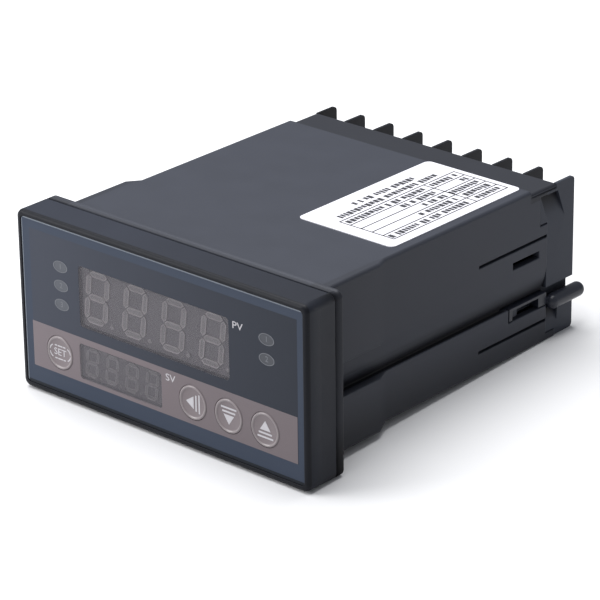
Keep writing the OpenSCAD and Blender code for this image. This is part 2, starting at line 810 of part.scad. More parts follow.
module front_overlay() color("#3b3f48") difference() {
    slab(overlay_w, overlay_h, overlay_r, overlay_y, plate_y);
    translate([pv_x, 0, pv_z]) slab(pv_w, pv_h, 1, overlay_y - 1, plate_y + 1);
    translate([sv_x, 0, row_z]) slab(sv_w, sv_h, 0.8, overlay_y - 1, plate_y + 1);
    for (x = key_xs) rod_y(key_hole_r, overlay_y - 1, plate_y + 1, x, row_z);
    for (p = lamp_spots) oval(lamp_w, lamp_h, overlay_y - 1, plate_y + 1, p[0], p[1]);
}

module pane(w, h, r, x, z) {
    translate([x, 0, z])
        slab(w - 2 * fit_gap, h - 2 * fit_gap, r - fit_gap, overlay_y + pane_inset, pane_back);
}

module pv_window() color("#5b4e50") pane(pv_w, pv_h, 1, pv_x, pv_z);

module sv_window() color("#55494b") pane(sv_w, sv_h, 0.8, sv_x, row_z);

module lamp_windows() color("#80848a")
    for (p = lamp_spots)
        oval(lamp_w - 2 * fit_gap, lamp_h - 2 * fit_gap, overlay_y, plate_back, p[0], p[1]);

// Display modules, whose faces stand in their windows, and their seven-segment digits
module display(w, h, r, lap_x, lap_z) {
    box([-w / 2 - lap_x, module_y, -h / 2 - lap_z], [w / 2 + lap_x, board_y, h / 2 + lap_z]);
    slab(w - 2 * module_gap, h - 2 * module_gap, r - module_gap, face_y, module_y + eps);
}

module pv_display() color("#77696a")
    translate([pv_x, 0, pv_z]) display(pv_w, pv_h, 1, pv_lap_x, pv_lap_z);

module sv_display() color("#6d6062")
    translate([sv_x, 0, row_z]) display(sv_w, sv_h, 0.8, sv_lap_x, sv_lap_z);

// Corners of a bar, moved so that it leans with its digit
function leaning(corners) = [for (c = corners) [c[0] + c[1] * tan(digit_lean), c[1]]];

module level_bar(z, len, t) {
    polygon(leaning([[-len / 2, z], [-len / 2 + t / 2, z + t / 2], [len / 2 - t / 2, z + t / 2],
                     [len / 2, z], [len / 2 - t / 2, z - t / 2], [-len / 2 + t / 2, z - t / 2]]));
}

module upright_bar(x, z, len, t) {
    polygon(leaning([[x, z - len / 2], [x + t / 2, z - len / 2 + t / 2],
                     [x + t / 2, z + len / 2 - t / 2], [x, z + len / 2],
                     [x - t / 2, z + len / 2 - t / 2], [x - t / 2, z - len / 2 + t / 2]]));
}

module digit(h) {
    w = h * digit_share;
    t = h * bar_share;
    gap = t * bar_gap_share;
    for (z = [-1, 0, 1]) level_bar(z * (h - t) / 2, w - t - 2 * gap, t);
    for (x = [-1, 1], z = [-1, 1])
        upright_bar(x * (w - t) / 2, z * (h - t) / 4, (h - t) / 2 - 2 * gap, t);
    translate(leaning([[w / 2 + point_place * t, (t - h) / 2]])[0]) circle(t * point_share);
}

module digit_row(w, h, margin, x, z) {
    half = h * (digit_share + tan(digit_lean)) / 2;
    point = max(0, h * (bar_share * (point_place + point_share) - tan(digit_lean)));
    first = -w / 2 + margin + half;
    last = w / 2 - margin - point - half;
    for (i = [0 : digits - 1])
        translate([x + first + (last - first) * i / (digits - 1), face_y, z]) rotate([90, 0, 0])
            linear_extrude(segment_t) digit(h);
}

module pv_digits() color("#a39a98")
    digit_row(pv_w, pv_digit_h, pv_digit_margin, pv_x, pv_z + pv_digit_rise);

module sv_digits() color("#8d8482") digit_row(sv_w, sv_digit_h, sv_digit_margin, sv_x, row_z);

module lamps() color("#b9bcb4")
    for (p = lamp_spots) rod_y(led_r, board_y - led_d, board_y, p[0], p[1]);

module display_board() color("#2f6b45") difference() {
    slab(dboard_w, dboard_h, 1, board_y, board_back, neck_rise);
    for (p = posts) rod_y(board_screw_r + fit_gap, board_y - 1, board_back + 1, p[0], p[1]);
}

module board_screws() color("#c4c6c8")
    for (p = posts) {
        rod_y(board_screw_r, board_y - board_screw_l, board_back + eps, p[0], p[1]);
        rod_y(board_screw_r * 1.8, board_back, board_back + 1.3, p[0], p[1]);
    }

// Keys and their switches
module key_switches() color("#26272a")
    for (x = key_xs) difference() {
        box([x - switch_w / 2, board_y - switch_d, row_z - switch_w / 2],
            [x + switch_w / 2, board_y, row_z + switch_w / 2]);
        rod_y(plunger_r + run_gap, board_y - switch_d - 1,
              plunger_front + plunger_len + key_travel + fit_gap, x, row_z);
    }

module key(x) {
    rod_y(key_r, overlay_y - key_rise, overlay_y - key_rise + key_cap_t, x, row_z);
    rod_y(stem_r, overlay_y - key_rise, plunger_front, x, row_z);
    rod_y(collar_r, plate_back + collar_gap, plate_back + collar_gap + collar_t, x, row_z);
}

module plunger(x) {
    rod_y(plunger_r, plunger_front, plunger_front + plunger_len, x, row_z);
}

module set_key() color("#8d8084") key(key_xs[0]);

module shift_key() color("#8d8084") key(key_xs[1]);

module down_key() color("#8d8084") key(key_xs[2]);

module up_key() color("#8d8084") key(key_xs[3]);

module set_plunger() color("#5a4a3a") plunger(key_xs[0]);

module shift_plunger() color("#5a4a3a") plunger(key_xs[1]);

module down_plunger() color("#5a4a3a") plunger(key_xs[2]);

module up_plunger() color("#5a4a3a") plunger(key_xs[3]);

// Long boards and what stands on them
module long_board(z) {
    box([-long_board_w / 2, board_back, z - board_t / 2], [long_board_w / 2, board_end, z + board_t / 2]);
}

module power_board() color("#2f6b45") long_board(power_z);

module control_board() color("#2f6b45") long_board(control_z);

module board_headers() color("#1f2022")
    for (z = [power_top, control_top])
        box([-header_w / 2, board_back, z], [header_w / 2, board_back + header_l, z + header_h]);

module socket(z) {
    difference() {
        box([-socket_x, board_end - socket_len, z], [socket_x, board_end, z + socket_h]);
        for (x = bay_xs)
            translate([x, 0, z + socket_h / 2])
                box([-blade_w / 2 - 2 * fit_gap, blade_start - 0.6, -contact_t / 2 - 2 * fit_gap],
                    [blade_w / 2 + 2 * fit_gap, board_end + 1, contact_t / 2 + 2 * fit_gap]);
    }
}

module rear_sockets() color("#e6e2d4") {
    socket(power_top);
    socket(control_top);
}

module core_windows(gap, y0, y1) {
    for (s = [-1, 1])
        translate([s * window_x, 0, 0])
            box([-window_w / 2 + gap, -core_l / 2 + yoke + gap, y0],
                [window_w / 2 - gap, core_l / 2 - yoke - gap, y1]);
}

module transformer_core() color("#6b6a66") translate([transformer_x, transformer_y, power_top])
    difference() {
        box([-core_w / 2, -core_l / 2, 0], [core_w / 2, core_l / 2, core_h]);
        core_windows(0, -1, core_h + 1);
    }

module transformer_winding() color("#a5622e") translate([transformer_x, transformer_y, power_top])
    core_windows(winding_gap, 0, core_h + winding_rise);

module on_board(x, y, w, l, h, top) {
    translate([x, y, top]) box([-w / 2, -l / 2, 0], [w / 2, l / 2, h]);
}

module output_relay() color("#2b4f86")
    on_board(relay_x, relay_y + relay_pitch, relay_w, relay_l, relay_h, power_top);

module alarm_relay() color("#2b4f86")
    on_board(relay_x, relay_y, relay_w, relay_l, relay_h, power_top);

module smoothing_capacitors() color("#20242c")
    for (i = [0, 1])
        translate([capacitor_x, capacitor_y + i * capacitor_pitch, power_top])
            cylinder(r = capacitor_r, h = capacitor_h);

module line_capacitor() color("#c9a13c")
    on_board(capacitor_x, line_capacitor_y, line_capacitor_w, line_capacitor_l,
             line_capacitor_h, power_top);

module processor() color("#1d1e20")
    on_board(processor_x, processor_y, processor_w, processor_w, processor_h, control_top);

module logic_chips() color("#1d1e20")
    for (i = [0 : 2])
        on_board(chip_x, chip_y + i * chip_pitch, chip_w, chip_l, chip_h, control_top);

module crystal() color("#c9cbcd")
    translate([crystal_x, crystal_y, control_top])
        linear_extrude(crystal_h) rounded(crystal_w, crystal_l, crystal_w / 2 - 0.1);

case();
terminal_block();
terminal_contacts();
terminal_clamps();
terminal_screws();
rating_label();
wiring_label();
right_release_arm();
left_release_arm();
front_bezel();
front_overlay();
pv_window();
sv_window();
lamp_windows();
pv_display();
pv_digits();
sv_display();
sv_digits();
lamps();
display_board();
board_screws();
key_switches();
set_key();
shift_key();
down_key();
up_key();
set_plunger();
shift_plunger();
down_plunger();
up_plunger();
power_board();
control_board();
board_headers();
rear_sockets();
transformer_core();
transformer_winding();
output_relay();
alarm_relay();
smoothing_capacitors();
line_capacitor();
processor();
logic_chips();
crystal();
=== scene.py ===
import math
import random

import bmesh
import bpy
from mathutils import Matrix, Vector


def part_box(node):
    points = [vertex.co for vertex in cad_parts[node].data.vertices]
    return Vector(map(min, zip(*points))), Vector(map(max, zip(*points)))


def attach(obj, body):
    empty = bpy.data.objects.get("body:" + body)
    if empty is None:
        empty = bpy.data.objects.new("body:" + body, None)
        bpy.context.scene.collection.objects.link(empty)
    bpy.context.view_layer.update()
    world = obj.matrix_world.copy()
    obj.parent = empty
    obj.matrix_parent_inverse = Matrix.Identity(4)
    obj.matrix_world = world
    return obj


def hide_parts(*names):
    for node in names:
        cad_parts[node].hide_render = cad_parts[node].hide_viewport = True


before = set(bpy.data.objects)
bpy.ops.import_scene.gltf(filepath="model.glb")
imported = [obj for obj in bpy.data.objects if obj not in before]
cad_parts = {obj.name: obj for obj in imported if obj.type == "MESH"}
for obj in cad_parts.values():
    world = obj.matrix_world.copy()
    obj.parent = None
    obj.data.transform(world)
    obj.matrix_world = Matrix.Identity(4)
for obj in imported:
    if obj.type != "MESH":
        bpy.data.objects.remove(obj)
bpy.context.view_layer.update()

MM = 0.001


# ---- Case ---------------------------------------------------------------------------------------
# The outer shell that stays in the panel: one injection moulding in a flame retardant, blue-black
# plastic with a fine spark-eroded grain. The mould leaves every edge slightly round.


class Wire:
    """A shader node's output, so that a sum on it reads as arithmetic and adds its Math nodes."""

    def __init__(self, finish, socket):
        self.finish = finish
        self.socket = socket

    def other(self, name):
        return Wire(self.finish, self.socket.node.outputs[name])

    def maths(self, operation, *values):
        return self.finish.node("ShaderNodeMath", {"operation": operation}, dict(enumerate(values)))

    def __add__(self, value):
        return self.maths("ADD", self, value)

    def __radd__(self, value):
        return self.maths("ADD", value, self)

    def __sub__(self, value):
        return self.maths("SUBTRACT", self, value)

    def __rsub__(self, value):
        return self.maths("SUBTRACT", value, self)

    def __mul__(self, value):
        return self.maths("MULTIPLY", self, value)

    def __rmul__(self, value):
        return self.maths("MULTIPLY", value, self)

    def __lt__(self, value):
        return self.maths("LESS_THAN", self, value)

    def __gt__(self, value):
        return self.maths("GREATER_THAN", self, value)

    def __abs__(self):
        return self.maths("ABSOLUTE", self)

    def fraction(self):
        return self.maths("FRACT", self)


class Finish:
    """One of this object's finishes: a material whose shader sockets are named as in the shader."""

    def __init__(self, name, **constants):
        self.material = bpy.data.materials.new(name)
        self.material.use_nodes = True
        self.tree = self.material.node_tree
        self.tree.nodes.clear()
        shader = self.node("ShaderNodeBsdfPrincipled")
        self.node("ShaderNodeOutputMaterial", sockets={"Surface": shader})
        self.shader = shader.socket.node
        self.set(**constants)

    def node(self, kind, settings=None, sockets=None):
        """Adds a node of a type, first with its settings and then its sockets' values or links."""
        made = self.tree.nodes.new(kind)
        for name, value in (settings or {}).items():
            setattr(made, name, value)
        for name, value in (sockets or {}).items():
            self.feed(made.inputs[name], value)
        return Wire(self, made.outputs[0]) if made.outputs else None

    def feed(self, socket, value):
        if isinstance(value, Wire):
            self.tree.links.new(value.socket, socket)
        elif socket.type == "RGBA" and len(value) == 3:
            socket.default_value = (*value, 1)
        else:
            socket.default_value = value

    def set(self, **sockets):
        for name, value in sockets.items():
            self.feed(self.shader.inputs[name.replace("_", " ")], value)

    def place(self):
        """Where a point is on the object, in millimetres."""
        here = self.node("ShaderNodeTexCoord").other("Object")
        return self.node("ShaderNodeVectorMath", {"operation": "SCALE"}, {
            "Vector": here, "Scale": 1 / MM})

    def axes(self):
        """The same place as three lengths."""
        where = self.node("ShaderNodeSeparateXYZ", None, {"Vector": self.place()})
        return [where.other(axis) for axis in "XYZ"]

    def noise(self, size, detail=2.0, stretch=None):
        """Cloudy values about 0.5, with lumps of the given size in millimetres."""
        where = self.place()
        if stretch:
            where = self.node("ShaderNodeMapping", None, {"Vector": where, "Scale": stretch})
        return self.node("ShaderNodeTexNoise", None, {
            "Vector": where, "Scale": 1 / size, "Detail": detail})

    def blend(self, factor, low, high):
        mixed = self.node("ShaderNodeMix", {"data_type": "RGBA"}, {0: factor, 6: low, 7: high})
        return Wire(self, mixed.socket.node.outputs[2])

    def mottle(self, size, deep, pale):
        """A colour that wanders between two shades, in lumps of the given size in millimetres."""
        return self.blend(self.noise(size), deep, pale)

    def bump(self, height, depth, strength=1.0):
        """Raises the surface by height, given as a share of a depth in millimetres."""
        self.set(Normal=self.node("ShaderNodeBump", None, {
            "Height": height, "Distance": depth * MM, "Strength": strength}))


def moulded(name, colour, grain=0.28, depth=0.012, roughness=0.5, level=0.4, spread=0.16, painted_shade=None):
    """Moulded plastic: spark-eroded grain, faint flow clouds and slightly uneven gloss. A painted shade,
    if given, darkens the colour by place to stand in for shade."""
    finish = Finish(name, Specular_IOR_Level=level)
    clouds = finish.noise(9.0, 3.0)
    grain_height = finish.noise(grain)
    pale = [c * (1 + spread) for c in colour]
    deep = [c * (1 - spread) for c in colour]
    shade = finish.blend(clouds * 0.7 + grain_height * 0.5 - 0.1, deep, pale)
    finish.set(Base_Color=painted_shade(finish, shade) if painted_shade else shade,
               Roughness=roughness - 0.06 + clouds * 0.08 + grain_height * 0.05)
    finish.bump(grain_height, depth)
    return finish.material


def piece(name, work, materials, body, node=None):
    """Closes a bmesh into a named piece that moves with a body and may stand for a CAD node."""
    mesh = bpy.data.meshes.new(name)
    work.to_mesh(mesh)
    work.free()
    made = bpy.data.objects.new(name, mesh)
    bpy.context.scene.collection.objects.link(made)
    for material in materials if isinstance(materials, list) else [materials]:
        mesh.materials.append(material)
    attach(made, body)
    if node:
        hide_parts(node)
    return made


def round_edges(made, radius):
    """Rounds the marked edges of a piece by a radius in millimetres and keeps its flats flat."""
    made.data.shade_smooth()
    edges = made.modifiers.new("edges", "BEVEL")
    edges.width = radius * MM
    edges.segments = 2
    edges.limit_method = "WEIGHT"
    edges.use_clamp_overlap = False
    flats = made.modifiers.new("flats", "WEIGHTED_NORMAL")
    flats.weight = 100
    flats.keep_sharp = True
    return made


MERGE, SHORT_EDGE, SMALL_FACE, SHARP_REACH = 0.02, 0.08, 0.03, 0.05
FLAT_ANGLE, CREASE_ANGLE = math.radians(0.5), math.radians(50)


def moulding(name, node, body, material, radius=0.2, sharp=None):
    """A piece with a CAD node's shape, its loose triangles joined into flats and its edges rounded.
    Edges at the depth given as sharp, in millimetres, stay as they are."""
    work = bmesh.new()
    work.from_mesh(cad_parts[node].data)
    bmesh.ops.remove_doubles(work, verts=work.verts, dist=MERGE * MM)
    bmesh.ops.dissolve_limit(work, angle_limit=FLAT_ANGLE, verts=work.verts, edges=work.edges)
    bmesh.ops.dissolve_degenerate(work, dist=MERGE * MM, edges=work.edges)
    mark = work.edges.layers.float.new("bevel_weight_edge")
    for edge in work.edges:
        if len(edge.link_faces) == 2 and edge.calc_length() > SHORT_EDGE * MM \
                and min(f.calc_area() for f in edge.link_faces) > SMALL_FACE * MM * MM \
                and edge.calc_face_angle() > CREASE_ANGLE \
                and (sharp is None or max(abs(v.co.y / MM - sharp) for v in edge.verts) > SHARP_REACH):
            edge[mark] = 1
    return round_edges(piece(name, work, material, body, node), radius)


def between(wire, low, high):
    """0 below a first value and 1 above a second, with an even rise from one to the other."""
    return wire.finish.node("ShaderNodeMapRange", None, {
        "Value": wire, "From Min": low, "From Max": high})


def case_tone(finish, colour):
    """Painted shade: darkens the lowered rear end of the top, its edge, the root of the clamp channels,
    the lower and the front part of the side walls, and the ends of the flange."""
    top_z, strip_y, seat_y, fore_y = 19, 81.1, 0.1, 70
    wall_x, root_x, outer_x, groove_x, face_x, flange_x = 36, 37, 40, 40.1, 40.36, 47
    root_low, root_fade, root_high = -7.6, -6.6, -2.2
    low_start, low_end = -9, -18
    x, y, z = finish.axes()
    side = abs(x)
    top = z > top_z
    # Painted shade: each share below darkens the case where shade falls, not where its plastic differs.
    strip = top * between(y, strip_y - 0.2, strip_y + 0.2) * 0.5
    step = top * between(y, strip_y - 1.0, strip_y - 0.5) * (y < strip_y) * 0.4
    inward = between(side, face_x, groove_x)
    root = (side > root_x) * (z > root_low) * (1 - between(z, root_fade, root_high)) * inward * 0.92
    low = (side > wall_x) * between(z, low_start, low_end) * 0.4
    fore = (side > outer_x) * between(y, fore_y, 0) * 0.28
    flange = (side > flange_x) * (y < seat_y) * 0.3
    return finish.blend(strip + step + root + low + fore + flange, colour, (0.001, 0.001, 0.002))


FLANGE_FRONT = -2.7
case_plastic = moulded("case_plastic", (0.029, 0.032, 0.043), level=0.22, painted_shade=case_tone)
moulding("case_shell", "case", "case", case_plastic, 0.25, sharp=FLANGE_FRONT)

# ---- Terminal block -----------------------------------------------------------------------------
# The barrier block that snaps into the back of the case, moulded in the same plastic. Nine barriers
# a row keep the ring lugs apart, and the band between the rows carries the wiring diagram.


def barrier_tone(finish, colour):
    """Painted shade: darkens the roots of the pockets, and all but the outer end faces, which match the
    case.
    """
    bays_x, end_wall_x, pocket_floor_x, pocket_rim_x, left_face_x = 38.0, 38.9, 39.3, 40.1, -40.3
    x = finish.axes()[0]
    # Painted shade in the pockets and on the faces between the barriers.
    pocket = (abs(x) > end_wall_x) * between(abs(x), pocket_rim_x, pocket_floor_x) * 0.95
    bays = (x > left_face_x) * between(x, end_wall_x, bays_x) * 0.8
    return finish.blend(bays + pocket, colour, (0.001, 0.001, 0.003))


barrier_plastic = moulded("barrier_plastic", (0.031, 0.035, 0.047), level=0.18, painted_shade=barrier_tone)
moulding("barrier_block", "terminal_block", "case", barrier_plastic, 0.07)

# ---- Contacts, clamps and screws ----------------------------------------------------------------
# Punched brass contacts run forward as blades; a nickelled square plate and a pan head screw clamp
# each lug on its pad.


def plated(name, colour, roughness):
    """Plated sheet metal with drawn-out polishing marks."""
    finish = Finish(name, Metallic=1.0)
    marks = finish.noise(0.5, 3.0, (1, 0.08, 1))
    stains = finish.noise(2.5)
    dull = [c * 0.72 for c in colour]
    finish.set(Base_Color=finish.blend(stains, dull, colour),
               Roughness=roughness - 0.08 + marks * 0.12 + stains * 0.08)
    finish.bump(marks, 0.01, strength=0.5)
    return finish.material


contact_brass = plated("contact_brass", (0.70, 0.53, 0.24), 0.34)
nickel = plated("nickel", (0.66, 0.66, 0.65), 0.3)
moulding("contact_set", "terminal_contacts", "case", contact_brass, 0.08)
moulding("clamp_set", "terminal_clamps", "case", nickel, 0.12)
moulding("screw_set", "terminal_screws", "case", nickel, 0.12)

# ---- Release arms -------------------------------------------------------------------------------
# A thin moulded arm in each side wall, hinged at its knuckle, with a finger rod that reaches back
# past the terminals. Pulled outwards, its window lets go of a tooth of the terminal block.
arm_plastic = moulded("arm_plastic", (0.014, 0.016, 0.024), roughness=0.30, level=0.34)
for side in ("right", "left"):
    arm = side + "_release_arm"
    moulding(side + "_arm", arm, arm, arm_plastic, 0.12)

# ---- Rating label -------------------------------------------------------------------------------
# A white polyester label with round corners, stuck on the top wall. Its table is printed in black:
# a ruled frame with five rows, filled with plain bars in place of words.


def slab(work, low, high, radius=0.0, axis=1):
    """Adds a block between two corners in millimetres, with the edges along one axis rounded."""
    low, high = Vector(low) * MM, Vector(high) * MM
    shape = Matrix.Translation((low + high) / 2) @ Matrix.Diagonal((*(high - low), 1))
    made = bmesh.ops.create_cube(work, size=1, matrix=shape)
    if radius:
        edges = {e for v in made["verts"] for e in v.link_edges}
        along = [e for e in edges
                 if abs((e.verts[0].co - e.verts[1].co).normalized()[axis]) > 0.99]
        bmesh.ops.bevel(work, geom=along, offset=radius * MM, segments=6, profile=0.5,
                        affect="EDGES", material=-1, offset_type="OFFSET")


def corners(node):
    """A CAD node's lowest and highest corners in millimetres."""
    low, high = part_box(node)
    return [v / MM for v in low], [v / MM for v in high]


LABEL_CORNER = 1.6
label_film = Finish("label_film", Specular_IOR_Level=0.45)
label_cloud = label_film.noise(3.0)
label_film.set(Base_Color=label_film.blend(label_cloud, (0.62, 0.615, 0.66), (0.69, 0.685, 0.73)),
               Roughness=0.38 + label_cloud * 0.12)
label_film.bump(label_film.noise(0.6), 0.006)
label_ink = Finish("label_ink", Roughness=0.5)
label_ink.set(Base_Color=label_ink.mottle(0.3, (0.010, 0.010, 0.014), (0.03, 0.03, 0.038)))

label_low, label_high = corners("rating_label")
work = bmesh.new()
slab(work, label_low, label_high, LABEL_CORNER, axis=2)
piece("label_sheet", work, label_film.material, "case", "rating_label")

INK = 0.04
label_top = label_high[2]


def ink(work, x0, x1, y0, y1):
    """A printed rectangle that stands out of the label by the thickness of the ink."""
    slab(work, (min(x0, x1), min(y0, y1), label_top - INK), (max(x0, x1), max(y0, y1), label_top + INK))


TABLE_ROWS, ROW_PITCH, RULE = 5, 3.46, 0.36
table_right, table_near, table_far, column_y = 34.6, 34.1, 78.75, 66.25
table_left = table_right - TABLE_ROWS * ROW_PITCH
work = bmesh.new()
for row in range(TABLE_ROWS + 1):
    x = table_right - row * ROW_PITCH
    ink(work, x - RULE / 2, x + RULE / 2, table_near, table_far)
for y in (table_near, column_y, table_far - RULE):
    ink(work, table_right, table_left, y, y + RULE)

# Bars stand for words. A line of them is so many rows down the table and has a start and an end.
BAR_DROP, WORD_GAP, BAR_GAP = 0.85, 1.3, 0.35
first_column, second_column = 77.2, 64.4
first_ends, second_ends = (68.4, 68.4, 66.9, 74.1, 67.4), (35.0, 50.6, 56.3, 50.9, 35.6)
bar_lines = [(row + 0.5, first_column, end) for row, end in enumerate(first_ends)]
bar_lines += [(row + 0.5, second_column, end) for row, end in enumerate(second_ends)]
bar_lines += [(5.6, 73.8, 36.9), (6.48, 68.4, 45.6)]
draw = random.Random(7)
for row, y, end in bar_lines:
    x = table_right - row * ROW_PITCH - BAR_DROP
    while y > end:
        width, rise = draw.choice((0.8, 1.0, 1.25)), draw.choice((0.8, 0.9, 1.0))
        ink(work, x, x + 2 * rise, y - width, y)
        y -= width + (BAR_GAP if draw.random() < 0.85 else WORD_GAP)
piece("label_print", work, label_ink.material, "case")

# ---- Wiring label -------------------------------------------------------------------------------
# A pale polyester strip, stuck on the band between the terminal rows. It is printed with a terminal
# number for each bay and a tick that points to the bay's screw.
WIRING_CORNER = 0.8
wire_low, wire_high = corners("wiring_label")
work = bmesh.new()
slab(work, wire_low, wire_high, WIRING_CORNER)
piece("wiring_strip", work, label_film.material, "case", "wiring_label")

LETTER_THICK, FONT_PER_CAPITAL, STROKE_GAIN = 0.03, 1.37, 0.002


def lettering(words, height, matrix):
    """Plain lettering as a thin mesh, standing in the XY plane before it is placed."""
    curve = bpy.data.curves.new(words, "FONT")
    curve.body = words
    curve.size = height * MM * FONT_PER_CAPITAL
    curve.align_x, curve.align_y = "CENTER", "CENTER"
    curve.extrude = LETTER_THICK * MM / 2
    curve.offset = STROKE_GAIN * height * MM
    curve.resolution_u = 3
    holder = bpy.data.objects.new(words, curve)
    bpy.context.scene.collection.objects.link(holder)
    bpy.context.view_layer.update()
    mesh = bpy.data.meshes.new_from_object(holder)
    mesh.transform(matrix)
    bpy.data.objects.remove(holder)
    bpy.data.curves.remove(curve)
    return mesh


def at(x, y, z):
    """The move to a place given in millimetres."""
    return Matrix.Translation(Vector((x, y, z)) * MM)


def facing_front(x, y, z):
    return at(x, y, z) @ Matrix.Rotation(math.pi / 2, 4, "X")


def facing_back(x, y, z):
    return at(x, y, z) @ Matrix.Rotation(math.pi, 4, "Z") @ Matrix.Rotation(math.pi / 2, 4, "X")


BAYS, BARRIER = 8, 0.9
NUMBER_H, NUMBER_RISE, TICK_RISE = 1.5, 1.7, 2.8
block_low, block_high = corners("terminal_block")
bay_pitch = (block_high[0] - block_low[0] - BARRIER) / BAYS
wire_y, wire_z = wire_high[1], (wire_low[2] + wire_high[2]) / 2
half_tick = Vector((0.1, INK, 0.25))
work = bmesh.new()
for bay in range(BAYS):
    x = (bay - (BAYS - 1) / 2) * bay_pitch
    for number, side in ((bay + 1, 1), (bay + 1 + BAYS, -1)):
        place = facing_back(x, wire_y, wire_z + side * NUMBER_RISE)
        work.from_mesh(lettering(str(number), NUMBER_H, place))
        tick = Vector((x, wire_y, wire_z + side * TICK_RISE))
        slab(work, tick - half_tick, tick + half_tick)
piece("wiring_numbers", work, label_ink.material, "case")

# ---- Front bezel --------------------------------------------------------------------------------
# The moulded frame of the withdrawable chassis. Its rim stands a little above the front film, and
# its front edge is well rounded where a finger meets it.


def bezel_tone(finish, colour):
    """Painted shade: darkens the front rounding, and the whole frame a little towards its right end, away
    from the lamps.
    """
    rounding_y, pale_x, dark_x = -11.6, -20, 60
    x, y, _ = finish.axes()
    shade = (y < rounding_y) * 0.75 + (y > rounding_y) * between(x, pale_x, dark_x) * 0.5
    return finish.blend(shade, colour, (0.001, 0.001, 0.002))


SEAM = 0.15
bezel_plastic = moulded("bezel_plastic", (0.017, 0.020, 0.030), grain=0.24, level=0.16, painted_shade=bezel_tone)
moulding("bezel_frame", "front_bezel", "chassis", bezel_plastic, 0.15,
         sharp=FLANGE_FRONT - SEAM)

# ---- Front film ---------------------------------------------------------------------------------
# A matte polycarbonate film, printed from behind: blue-black with a paler margin, and a taupe strip
# behind the keys. It is glued into the bezel's recess, and its lowest edge is coloured near black.


def within(value, low, high):
    return (value > low) * (value < high)


PANEL_X, PANEL_Z = (-43.7, 44.6), (-17.3, 19.9)
STRIP_X, STRIP_Z = (-43.9, 44.4), (-17.3, -5.1)
GROUND_SHADE_X, STRIP_SHADE_X = (-40, 46), (-30, 45)
EDGE_HIGHLIGHT_W, DARK_FOOT = 0.3, 0.85
film_low, film_high = corners("front_overlay")
film_front = film_low[1]
film = Finish("overlay_film", Specular_IOR_Level=0.24)
film_x, _, film_z = film.axes()
margin = 1 - within(film_x, *PANEL_X) * within(film_z, *PANEL_Z)
strip = within(film_x, *STRIP_X) * within(film_z, *STRIP_Z)
# Painted highlight: a pale line along the film's top and left edges, where light catches them.
edge_highlight = 1 - (film_x > film_low[0] + EDGE_HIGHLIGHT_W) * (film_z < film_high[2] - EDGE_HIGHLIGHT_W)
dark_foot = film_z < film_low[2] + DARK_FOOT
film_grain = film.noise(0.22)
print_cloud = film_grain * 0.6 + film.noise(14.0) * 0.4
ground = film.blend(print_cloud, (0.026, 0.031, 0.046), (0.036, 0.042, 0.060))
# Painted shade: the blue-black ground darkens towards the film's right end.
ground = film.blend(between(film_x, *GROUND_SHADE_X) * 0.75, ground, (0.004, 0.007, 0.014))
taupe = film.blend(print_cloud, (0.130, 0.109, 0.118), (0.165, 0.138, 0.148))
# Painted shade: the taupe strip darkens towards its right end too.
taupe = film.blend(between(film_x, *STRIP_SHADE_X) * 0.3, taupe, (0.10, 0.082, 0.085))
edge_print = film.blend(print_cloud, (0.022, 0.032, 0.054), (0.030, 0.042, 0.068))
edge_print = film.blend(dark_foot, edge_print, (0.003, 0.006, 0.011))
printed = film.blend(strip, film.blend(margin, ground, edge_print), taupe)
# The pale colour here is the painted edge highlight.
film.set(Base_Color=film.blend(edge_highlight, printed, (0.16, 0.18, 0.21)), Roughness=0.42 + film_grain * 0.12)
film.bump(film_grain, 0.01)
moulding("front_film", "front_overlay", "chassis", film.material, 0.03)

# ---- Windows ------------------------------------------------------------------------------------
# Clear parts of the same film over each display, left free of the print behind it and tinted smoke
# brown. They are flush with the rest of the film, and their edges meet the print.
WINDOW_LAP, WINDOW_THICK, WINDOW_CORNER = 0.1, 0.3, 0.9


def smoke(name, cover):
    """Tinted clear film that hides a share of what lies behind it."""
    finish = Finish(name, Alpha=cover, Specular_IOR_Level=0.3)
    grain = finish.noise(0.22)
    finish.set(Base_Color=finish.blend(grain, (0.1215, 0.1152, 0.1278), (0.1485, 0.1408, 0.1562)),
               Roughness=0.42 + grain * 0.06)
    return finish.material


for name, node, cover in (("process_window", "pv_window", 0.3), ("set_window", "sv_window", 0.42)):
    low, high = corners(node)
    work = bmesh.new()
    slab(work, (low[0] - WINDOW_LAP, film_front, low[2] - WINDOW_LAP),
         (high[0] + WINDOW_LAP, film_front + WINDOW_THICK, high[2] + WINDOW_LAP), WINDOW_CORNER)
    piece(name, work, smoke(name, cover), "chassis", node)

# ---- Lamp windows -------------------------------------------------------------------------------
# Oval diffusing spots in the film above each indicator lamp, printed in a paler grey, with a ring
# and a small number. The film's other marks are printed in the same run.
LAMP_W, LAMP_H, LAMP_PITCH, TOP_LAMP = 4.9, 3.0, 5.1, 12.1
LAMP_COLUMNS = ((-33.2, 3), (35.0, 2))
LAMP_SHADE_X = (-30, 35)
lamp_spots = [(number + 1, x, TOP_LAMP - number * LAMP_PITCH)
              for x, count in LAMP_COLUMNS for number in range(count)]
lamp_print = Finish("lamp_film", Specular_IOR_Level=0.5)
lamp_grain = lamp_print.noise(0.22)
lamp_grey = lamp_print.blend(lamp_grain, (0.042, 0.047, 0.060), (0.060, 0.066, 0.082))
# Painted shade: the spots darken towards the film's right end.
lamp_spot_shade = between(lamp_print.axes()[0], *LAMP_SHADE_X) * 0.5
lamp_print.set(Base_Color=lamp_print.blend(lamp_spot_shade, lamp_grey, (0.012, 0.014, 0.020)),
               Roughness=0.4 + lamp_grain * 0.1)
lamp_print.bump(lamp_grain, 0.008)


def disc(work, radius, thickness, matrix, steps=48):
    """A round plate about its own Z axis, in millimetres, put in place by a matrix."""
    return bmesh.ops.create_cone(work, cap_ends=True, segments=steps, radius1=radius * MM,
                                 radius2=radius * MM, depth=thickness * MM, matrix=matrix)


